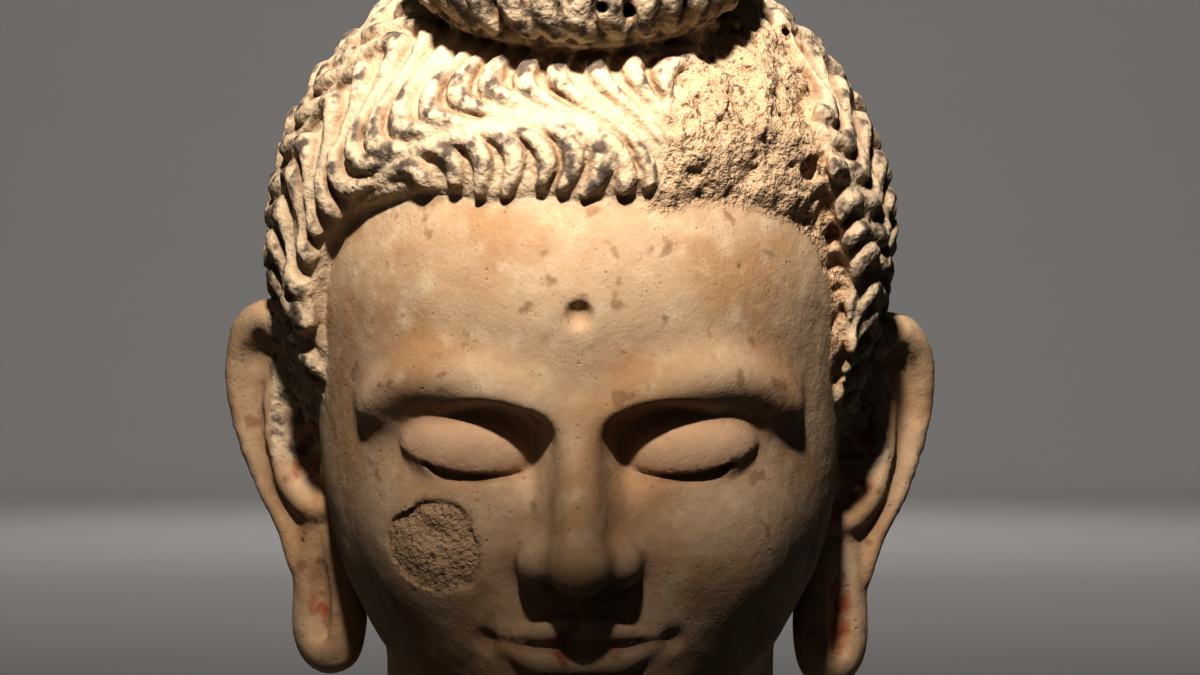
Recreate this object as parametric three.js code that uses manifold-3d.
import * as THREE from 'three';
import { mergeVertices } from 'three/addons/utils/BufferGeometryUtils.js';
import Module from 'manifold-3d';

// Buddha head, modelled in lime stucco. Millimetres, +Z up, the face looks toward -Y.
// The origin is the centre of the flat underside of the neck.

// Where the head sits on the neck
const EYE_HEIGHT = 140;
const PITCH_DEG = 6;

// Face canon: three equal parts from hairline to chin, measured up from the eye line
const THIRD = 53;
const BROW_Z = 16;
const NOSE_Z = BROW_Z - THIRD;
const CHIN_Z = NOSE_Z - THIRD;
const MOUTH_Z = NOSE_Z - THIRD / 3;

// Cranium, jaw and chin masses: centre and half sizes
const CRANIUM = { at: [0, 8, 34], half: [81, 97, 88] };
const CHEEKS = { at: [0, -14, -22], half: [74, 72, 66] };
const JAW = { at: [0, -38, -54], half: [54, 44, 35] };
const CHEEKBONE = { at: [32, -57, -28], half: [27, 26, 26] };
const MUZZLE = { at: [0, -65, MOUTH_Z], half: [28, 22, 21] };
const CHIN = { at: [0, -67, CHIN_Z + 15], half: [26, 19, 15.5] };
const SOCKET = { at: [30, -93, 2.5], half: [25.5, 17.5, 13.5] };
const SOCKET_INNER = { at: [15, -95, -2], half: [8.5, 17, 12] };
const EYEBALL = { at: [30, -67, -1], half: [18.5, 15, 13.5] };
const EYE_HALF_WIDTH = 15.5;
const UPPER_LID = 2;
const LOWER_LID = 1.4;

// Hair dome, and the hollow behind the head down to the nape
const DOME = { at: [0, 10, 52], half: [92, 100, 88] };
const NAPE = { at: [0, 22, -8], half: [72, 70, 66] };
const CENTRE = [0, 8, 0];
const LOCKS = 40;
const HAIR_EDGE = 4.5;
const HAIR_RISE = 1.1;
const LOCK_HEIGHT = 5.4;
const LOCK_SWAY = 10;
const TIER_DEG = 12.5;
const CALM_FROM = 34;
const CALM_TO = 52;
const FULL_RING = 60;
const MIN_HAIR = 2;
const EDGE_SINK = 3;
const LIP_SINK = 1.2;
// Hairline: degrees round the front axis, degrees out from it
const HAIRLINE = [
  [0, 38], [20, 41], [39, 53.5], [47, 60], [53, 63.5], [62, 64], [74, 62.5], [84, 64], [90, 74],
  [95, 88], [105, 95], [120, 99], [140, 106], [160, 117], [180, 121],
];

// Topknot
const KNOT = { at: [0, -28, 141], half: [50, 52, 30] };
const KNOT_LEAN_DEG = 15;
const KNOT_LOCKS = 14;
const KNOT_ROWS = 12;
const KNOT_RELIEF = 5;
const KNOT_SWAY = 0.12;

// Losses: the broken hair above the right temple, the pit in the cheek, the forehead mark
const HAIR_LOSS = { at: [56, -56, 78], half: [34, 60, 42], depth: 4, rough: 2.4 };
const CHEEK_LOSS = { toward: [-41, -88, -30], radius: 36, depth: 2.8 };
const URNA = { toward: [0, -94, 39], radius: 5, depth: 4 };
const CHEEK_LOSS_FACETS = 40;
const URNA_FACETS = 12;

// Neck
const NECK_RADIUS = 58;
const NECK_FLARE = 63;
const NECK_BACK = 8;
const NECK_TOP = 118;
const NECK_FACETS = 30;

// Ear: a plate turned to show its inside, then the folds laid on it
const EAR_ROOT = [71.5, 3, -12];
const EAR_TURN_DEG = 38;
const EAR_THICK = 7;
const EAR_BEVEL = 2;
const FOLD_LIFT = 3;
const CONCHA_LIFT = 7;
const RIGHT_EAR_DROP = 4;
const EAR_STEPS = 28;
const FOLD_SIDES = 7;
const FOLD_STEPS = 10;
const EAR_OUTLINE = [
  [-8, 20], [6, 34], [20, 42], [32, 41], [40, 33], [41, 20], [38, 4], [31, -12], [21, -27], [17, -42],
  [17, -58], [12, -66], [4, -68], [-4, -64], [-7, -54], [-7, -42], [-6, -30], [-8, -14],
];
const HELIX = [
  [6, 18, 4], [10, 30, 6], [20, 38, 6], [31, 38, 5], [37, 28, 4], [37, 14, 3], [33, 0, 2], [27, -12, 1],
];
const ANTIHELIX = [[18, 26, 3], [22, 14, 4], [21, 0, 5], [16, -12, 5], [9, -18, 4]];
const CONCHA = { at: [9, 2], half: [8, 15, 9] };
const SLIT = { at: [6, -47], half: [3.2, 15, 9] };

const UP = new THREE.Vector3(0, 0, 1);
const DEG = THREE.MathUtils.DEG2RAD;

// Distance fields: negative inside, millimetres outside
function ellipsoid(p, form) {
  const q = form.half.map((h, i) => (p[i] - form.at[i]) / h);
  const k0 = Math.hypot(q[0], q[1], q[2]);
  const k1 = Math.hypot(q[0] / form.half[0], q[1] / form.half[1], q[2] / form.half[2]);
  return (k0 * (k0 - 1)) / Math.max(k1, 1e-6);
}

function cone(p, a, b, ra, rb) {
  const d = b.map((v, i) => v - a[i]);
  const w = p.map((v, i) => v - a[i]);
  const along = (w[0] * d[0] + w[1] * d[1] + w[2] * d[2]) / (d[0] * d[0] + d[1] * d[1] + d[2] * d[2]);
  const t = Math.min(1, Math.max(0, along));
  return Math.hypot(w[0] - t * d[0], w[1] - t * d[1], w[2] - t * d[2]) - (ra + (rb - ra) * t);
}

// Soft union and soft cut, rounded over k millimetres
function join(a, b, k) {
  const h = Math.max(k - Math.abs(a - b), 0) / k;
  return Math.min(a, b) - (h * h * k) / 4;
}

function carve(a, b, k) {
  return -join(-a, -b, k);
}

function roll(p, points, radii, k) {
  let d = Infinity;
  for (let i = 0; i + 1 < points.length; i += 1) {
    const part = cone(p, points[i], points[i + 1], radii[i], radii[i + 1]);
    d = i ? join(d, part, k) : part;
  }
  return d;
}

// Brow and nose, from the middle outward
const BROW = [[8, -84.5, 9], [20, -84.5, 16.5], [36, -78.5, 20.5], [50, -69.5, 18], [61, -57, 10]];
const BROW_RADII = [4, 5, 5, 4.4, 3];
const NOSE_RIDGE = { from: [0, -86, 10], to: [0, -104, -29], radii: [4.2, 6] };
const NOSE_SIDES = { from: [0, -77, 6], to: [0, -89, -29], radii: [8, 12.5] };
const NOSE_TIP = { at: [0, -103, -30.8], half: [7.6, 8, 7] };
const NOSE_WING = { at: [11.5, -90, -31], half: [7, 10, 7.5] };

function nose(p) {
  const ridge = cone(p, NOSE_RIDGE.from, NOSE_RIDGE.to, ...NOSE_RIDGE.radii);
  const sides = cone(p, NOSE_SIDES.from, NOSE_SIDES.to, ...NOSE_SIDES.radii);
  const d = join(join(ridge, sides, 9), ellipsoid(p, NOSE_TIP), 4);
  return join(d, ellipsoid(p, NOSE_WING), 6);
}

// Lips, from the middle to the corner, measured up from the mouth line
const UPPER_LIP = [[0, -88.6, 3.2], [4.5, -89, 4.4], [13, -86, 2.6], [24, -79.5, 0.6]];
const UPPER_LIP_RADII = [3.8, 4, 3.2, 1.2];
const LOWER_LIP = [[0, -87, -5.4], [9, -86, -4.9], [16, -83, -3.1], [23, -79.5, -0.4]];
const LOWER_LIP_RADII = [5.6, 5.1, 3.4, 1.1];
const MOUTH_LINE = [[0, -93, -1], [5, -93, 0.3], [14, -89, -0.2], [25, -82, 0.3]];
const MOUTH_LINE_RADII = [1.1, 1.1, 1, 0.9];
const MOUTH_CORNER = { at: [27, -81, MOUTH_Z], half: [2.4, 2.6, 2.4] };
const CHIN_HOLLOW = { at: [0, -91, MOUTH_Z - 15], half: [13, 7, 3.6] };

function mouthAt(points) {
  return points.map(([x, y, z]) => [x, y, z + MOUTH_Z]);
}

function mouth(p, skin) {
  let d = join(skin, roll(p, mouthAt(UPPER_LIP), UPPER_LIP_RADII, 2), 2.5);
  d = join(d, roll(p, mouthAt(LOWER_LIP), LOWER_LIP_RADII, 2), 2.5);
  d = carve(d, -roll(p, mouthAt(MOUTH_LINE), MOUTH_LINE_RADII, 1), 1.2);
  d = carve(d, -ellipsoid(p, MOUTH_CORNER), 5);
  return carve(d, -ellipsoid(p, CHIN_HOLLOW), 6);
}

// Lowered lids over the ball: the opening is a lens between two arcs
function eye(p, skin) {
  const u = (p[0] - EYEBALL.at[0]) / EYE_HALF_WIDTH;
  const bow = 1 - u * u;
  const upperEdge = EYEBALL.at[2] - 2.8 - 3.4 * bow + 1.4 * u;
  const lowerEdge = EYEBALL.at[2] - 3.4 - 6.8 * bow + 1.4 * u;
  const upperLid = { at: EYEBALL.at, half: EYEBALL.half.map((h) => h + UPPER_LID) };
  const lowerLid = { at: EYEBALL.at, half: EYEBALL.half.map((h) => h + LOWER_LID) };
  const upper = carve(ellipsoid(p, upperLid), upperEdge - p[2], 0.8);
  const lower = carve(ellipsoid(p, lowerLid), p[2] - lowerEdge, 0.8);
  const d = join(join(skin, ellipsoid(p, EYEBALL), 1.2), upper, 1.5);
  return join(d, lower, 2.5);
}

// The whole face and cranium, the same on both sides
function headField(x, y, z) {
  const p = [Math.abs(x), y, z];
  let d = join(ellipsoid(p, CRANIUM), ellipsoid(p, CHEEKS), 22);
  d = join(d, ellipsoid(p, JAW), 16);
  d = join(d, ellipsoid(p, CHEEKBONE), 14);
  d = join(d, ellipsoid(p, MUZZLE), 13);
  d = join(d, ellipsoid(p, CHIN), 12);
  d = join(d, roll(p, BROW, BROW_RADII, 6), 12);
  d = carve(d, -ellipsoid(p, SOCKET), 6);
  d = carve(d, -ellipsoid(p, SOCKET_INNER), 8);
  d = join(d, nose(p), 7);
  d = mouth(p, d);
  return eye(p, d);
}

function hairField(x, y, z) {
  const p = [x, y, z];
  return join(ellipsoid(p, DOME), ellipsoid(p, NAPE), 30);
}

// Walks from outside along a ray toward the centre until it meets the field
function reach(field, centre, direction) {
  let t = 190;
  for (let i = 0; i < 90; i += 1) {
    const d = field(
      centre[0] + direction[0] * t,
      centre[1] + direction[1] * t,
      centre[2] + direction[2] * t,
    );
    if (Math.abs(d) < 0.02) break;
    t -= d * 0.8;
  }
  return t;
}

// A closed ball of columns and rows whose points are placed by a function of (u, v)
function ball(columns, rows, place) {
  const geometry = new THREE.SphereGeometry(1, columns, rows);
  const position = geometry.attributes.position;
  for (let i = 0; i < position.count; i += 1) {
    const row = Math.floor(i / (columns + 1));
    const pole = row === 0 || row === rows;
    const column = pole ? 0 : (i % (columns + 1)) % columns;
    const [x, y, z] = place(column / columns, row / rows);
    position.setXYZ(i, x, y, z);
  }
  return geometry;
}

// Table look-up with straight lines between the entries
function table(entries, at) {
  let i = 1;
  while (i < entries.length - 1 && entries[i][0] < at) i += 1;
  const [a0, b0] = entries[i - 1];
  const [a1, b1] = entries[i];
  const t = Math.min(1, Math.max(0, (at - a0) / (a1 - a0)));
  return b0 + (b1 - b0) * t;
}

// Head: columns crowd toward the face, rows crowd between hairline and chin
const HEAD_COLUMNS = 52;
const HEAD_ROWS = 42;
const COLUMN_TURN = [[0, -180], [3, -95], [10, -36], [42, 36], [49, 95], [HEAD_COLUMNS, 180]];
const ROW_ELEVATION = [[0, 90], [2, 44], [5, 27], [36, -40], [40, -56], [HEAD_ROWS, -90]];

function headPoint(u, v) {
  const turn = table(COLUMN_TURN, u * HEAD_COLUMNS) * DEG;
  const up = table(ROW_ELEVATION, v * HEAD_ROWS) * DEG;
  const ray = [Math.sin(turn) * Math.cos(up), -Math.cos(turn) * Math.cos(up), Math.sin(up)];
  const t = reach(headField, CENTRE, ray);
  return CENTRE.map((c, i) => c + ray[i] * t);
}

// Hair: rows step back from the hairline, columns run along the locks. In front the locks sway by tiers,
// and behind they run straight and shallow.
const ROWS_A_TIER = 3;
const FRONT_ROWS = 12;
const BACK_ROWS = 5;
const EDGE_ROWS = 3;
const HAIR_ROWS = FRONT_ROWS + BACK_ROWS + EDGE_ROWS;

function hairStep(row, room) {
  const fine = TIER_DEG / ROWS_A_TIER;
  if (row < FRONT_ROWS) return row * fine;
  const left = room - FRONT_ROWS * fine;
  return room - left * (1 - (row - FRONT_ROWS) / BACK_ROWS);
}

function lossAt(x, y, z) {
  const d = ellipsoid([x, y, z], HAIR_LOSS);
  return THREE.MathUtils.smoothstep(-d, -4, 6);
}

function hairPoint(u, v) {
  const row = Math.round(v * HAIR_ROWS) - EDGE_ROWS;
  const column = Math.round(u * 2 * LOCKS);
  const around = 180 - Math.abs(((360 * u) % 360) - 180);
  const edge = table(HAIRLINE, around);
  const step = row < 1 ? 0 : hairStep(row, 180 - edge);
  const out = edge + step;
  const tier = (Math.PI * step) / TIER_DEG;
  const ring = Math.max(0.15, Math.sin(out * DEG)) * DOME.half[0];
  const wave = Math.sin(tier) * (1 - THREE.MathUtils.smoothstep(step, CALM_FROM, CALM_TO));
  const turn = -2 * Math.PI * u + (LOCK_SWAY / ring) * wave;
  const ray = [
    Math.sin(out * DEG) * Math.sin(turn),
    -Math.cos(out * DEG),
    Math.sin(out * DEG) * Math.cos(turn),
  ];
  const skin = reach(headField, CENTRE, ray);
  if (row === -3) return CENTRE.map((c, i) => c + (ray[i] * skin) / 2);
  if (row === -2) return CENTRE.map((c, i) => c + ray[i] * (skin - EDGE_SINK));
  const dome = Math.max(reach(hairField, CENTRE, ray), skin + MIN_HAIR);
  const base = Math.min(dome, skin + HAIR_EDGE + step * HAIR_RISE);
  const swell = (0.6 + 0.4 * Math.abs(wave)) * Math.min(1, ring / FULL_RING);
  const lock = column % 2 ? -0.5 : 0.5;
  const at = CENTRE.map((c, i) => c + ray[i] * base);
  const lost = lossAt(at[0], at[1], at[2]);
  const lumps = HAIR_LOSS.rough * Math.sin(2.4 * row + 1.9 * column) * Math.cos(3.1 * row - 1.3 * column);
  const relief = LOCK_HEIGHT * lock * swell * (1 - lost) + (lumps - HAIR_LOSS.depth) * lost;
  const lip = row === -1 ? LIP_SINK : 0;
  return CENTRE.map((c, i) => c + ray[i] * (base + relief - lip));
}

// Topknot: upright locks that sway once on their way up, the whole leaned forward over the brow
function knotPoint(u, v) {
  const column = Math.round(u * 2 * KNOT_LOCKS);
  const up = Math.cos(Math.PI * v);
  const ring = Math.sin(Math.PI * v);
  const turn = 2 * Math.PI * u + KNOT_SWAY * Math.sin(3 * Math.PI * v);
  const relief = KNOT_RELIEF * (column % 2 ? -0.5 : 0.5) * ring;
  const [a, b, c] = KNOT.half.map((h) => h + relief);
  const upright = new THREE.Vector3(a * ring * Math.cos(turn), b * ring * Math.sin(turn), c * up);
  const leaned = upright.applyAxisAngle(new THREE.Vector3(1, 0, 0), KNOT_LEAN_DEG * DEG);
  return leaned.toArray().map((v, i) => v + KNOT.at[i]);
}

// A rounded roll through [u, v, radius] points, laid at a height over the ear's plate
function fold(points, lift) {
  const path = new THREE.CatmullRomCurve3(points.map(([u, v]) => new THREE.Vector3(u, v, 0)));
  const size = new THREE.CatmullRomCurve3(points.map(([, , r], i) => new THREE.Vector3(i, r, 0)));
  return ball(FOLD_SIDES, FOLD_STEPS, (around, along) => {
    const centre = path.getPoint(along);
    const tangent = path.getTangent(along);
    const side = new THREE.Vector3(tangent.y, -tangent.x, 0);
    const r = size.getPoint(along).y * Math.sqrt(Math.max(0, 1 - (2 * along - 1) ** 8));
    const a = 2 * Math.PI * around;
    return [
      centre.x + side.x * r * Math.cos(a),
      centre.y + side.y * r * Math.cos(a),
      lift + r * Math.sin(a),
    ];
  });
}

function hollow({ at, half }, lift) {
  return new THREE.SphereGeometry(1, 10, 7).scale(half[0], half[1], half[2]).translate(at[0], at[1], lift);
}

const wasm = await Module();
wasm.setup();

// One solid from a geometry whose vertices are merged first
function solid(geometry) {
  const bare = geometry.clone();
  bare.deleteAttribute('normal');
  bare.deleteAttribute('uv');
  const merged = mergeVertices(bare, 1e-3);
  return new wasm.Manifold(new wasm.Mesh({
    numProp: 3,
    vertProperties: new Float32Array(merged.attributes.position.array),
    triVerts: new Uint32Array(merged.index.array),
  }));
}

// Ear in its own plane: X outward from the root, Y up, Z toward the front
function ear(side) {
  const outline = new THREE.Shape(
    new THREE.SplineCurve(EAR_OUTLINE.map(([u, v]) => new THREE.Vector2(u, v))).getPoints(EAR_STEPS),
  );
  const plate = new THREE.ExtrudeGeometry(outline, {
    depth: EAR_THICK - 2 * EAR_BEVEL,
    bevelThickness: EAR_BEVEL,
    bevelSize: EAR_BEVEL,
    bevelOffset: -EAR_BEVEL,
    bevelSegments: 1,
  });
  plate.translate(0, 0, EAR_BEVEL - EAR_THICK / 2);
  const turn = EAR_TURN_DEG * DEG;
  const frame = new THREE.Matrix4().makeBasis(
    new THREE.Vector3(Math.cos(turn), Math.sin(turn), 0),
    UP,
    new THREE.Vector3(Math.sin(turn), -Math.cos(turn), 0),
  );
  frame.setPosition(EAR_ROOT[0], EAR_ROOT[1], EAR_ROOT[2] - (side > 0 ? RIGHT_EAR_DROP : 0));
  const place = (geometry) => {
    geometry.applyMatrix4(frame);
    if (side > 0) return solid(geometry);
    geometry.scale(-1, 1, 1);
    const order = geometry.index ?? indexed(geometry);
    for (let i = 0; i < order.count; i += 3) {
      const first = order.getX(i);
      order.setX(i, order.getX(i + 1));
      order.setX(i + 1, first);
    }
    return solid(geometry);
  };
  return place(plate)
    .add(place(fold(HELIX, FOLD_LIFT)))
    .add(place(fold(ANTIHELIX, FOLD_LIFT - 1)))
    .subtract(place(hollow(CONCHA, CONCHA_LIFT)))
    .subtract(place(hollow(SLIT, CONCHA_LIFT)));
}

function indexed(geometry) {
  const count = geometry.attributes.position.count;
  geometry.setIndex([...Array(count).keys()]);
  return geometry.index;
}

// Neck: a turned column with a flat underside that flares a little
const neckProfile = [
  [0, 0], [NECK_FLARE - 2, 0], [NECK_FLARE, 2], [NECK_FLARE - 2, 12], [NECK_RADIUS, 30],
  [NECK_RADIUS, NECK_TOP - 20], [NECK_RADIUS - 14, NECK_TOP], [0, NECK_TOP],
].map(([r, z]) => new THREE.Vector2(r, z));
const neck = new THREE.LatheGeometry(neckProfile, NECK_FACETS).rotateX(Math.PI / 2);

const pose = new THREE.Matrix4().makeRotationX(PITCH_DEG * DEG).setPosition(0, -NECK_BACK, EYE_HEIGHT);

// The skin, its losses, the hair over it, then everything leaned forward on the neck
function pit({ toward, radius, depth }, facets) {
  const away = new THREE.Vector3(...toward).normalize();
  const t = reach(headField, CENTRE, away.toArray());
  const at = away.multiplyScalar(t + radius - depth).add(new THREE.Vector3(...CENTRE));
  return new THREE.SphereGeometry(radius, facets, facets / 2).translate(at.x, at.y, at.z);
}

const urna = pit(URNA, URNA_FACETS);
const chip = pit(CHEEK_LOSS, CHEEK_LOSS_FACETS);
const skin = solid(ball(HEAD_COLUMNS, HEAD_ROWS, headPoint)).subtract(solid(urna)).subtract(solid(chip));
const hair = solid(ball(2 * LOCKS, HAIR_ROWS, hairPoint));
const knot = solid(ball(2 * KNOT_LOCKS, KNOT_ROWS, knotPoint));
const whole = skin.add(hair).add(knot).add(ear(1)).add(ear(-1)).transform(pose.elements).add(solid(neck));

// Where curved skins graze each other a join leaves crumbs finer than a sand grain.
// Only the head itself is kept.
const SLIVER = 0.05;

function geometryOf(body) {
  const pieces = body.setTolerance(SLIVER).decompose();
  pieces.sort((a, b) => b.volume() - a.volume());
  const { vertProperties, triVerts } = pieces[0].getMesh();
  const geometry = new THREE.BufferGeometry();
  geometry.setAttribute('position', new THREE.BufferAttribute(vertProperties, 3));
  geometry.setIndex(new THREE.BufferAttribute(triVerts, 1));
  geometry.computeVertexNormals();
  return geometry;
}

const stucco = new THREE.MeshStandardMaterial({ color: '#c2a480', roughness: 0.9, metalness: 0 });
const head = new THREE.Mesh(geometryOf(whole), stucco);
head.name = 'buddha_head';

const group = new THREE.Group();
group.add(head);

export default group;
